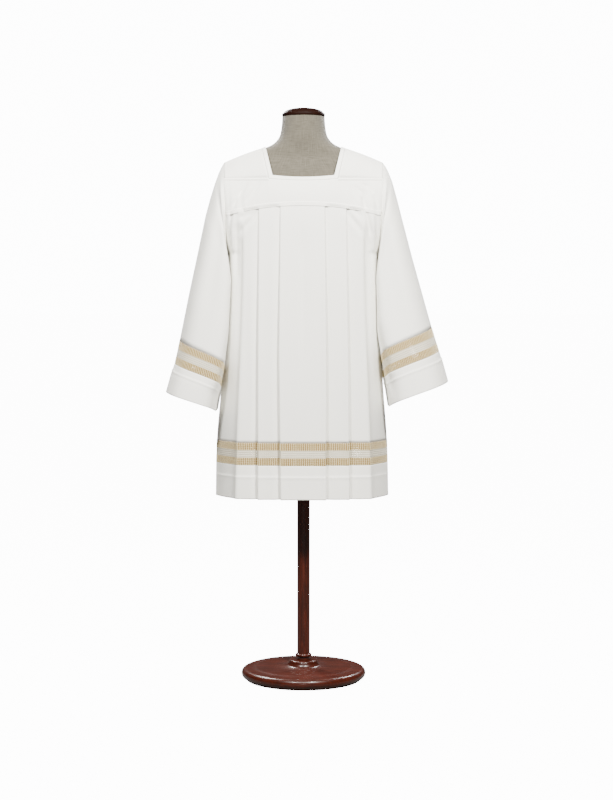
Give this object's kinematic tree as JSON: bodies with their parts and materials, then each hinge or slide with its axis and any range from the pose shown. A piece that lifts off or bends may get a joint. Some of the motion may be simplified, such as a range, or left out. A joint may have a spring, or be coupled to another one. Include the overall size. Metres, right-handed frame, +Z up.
{
  "type": "surplice on dress form",
  "caption": "White surplice with a square yoke, knife pleats, wide sleeves and gold and white openwork bands, worn by a limbless linen dress form on a round wooden base.",
  "frame": {"origin": "centre of the round base's underside, on the floor", "axes": "+Z up, the garment's front faces -Y, +X to the right as seen from the front"},
  "size_m": [0.7717, 0.3396, 1.564],
  "materials": {
    "white_cloth": "smooth matt white polyester blend with a soft drape",
    "openwork": "drawn-thread openwork in gold and white thread",
    "linen": "undyed grey-beige linen, plain weave",
    "wood": "dark red-brown polished hardwood"
  },
  "bodies": {
    "root": {"form_base": "wood", "form_pole": "wood", "form_plate": "wood", "form_torso": "linen", "form_neck_cap": "wood", "neck_strip": "white_cloth", "shoulder_left": "white_cloth", "shoulder_right": "white_cloth", "yoke_front": "white_cloth", "yoke_back": "white_cloth", "body_front": "white_cloth", "body_back": "white_cloth", "band_front": "openwork", "band_back": "openwork", "hem_front": "white_cloth", "hem_back": "white_cloth", "sleeve_left": "white_cloth", "sleeve_right": "white_cloth", "sleeve_band_left": "openwork", "sleeve_band_right": "openwork", "cuff_left": "white_cloth", "cuff_right": "white_cloth"}
  },
  "joints": []
}
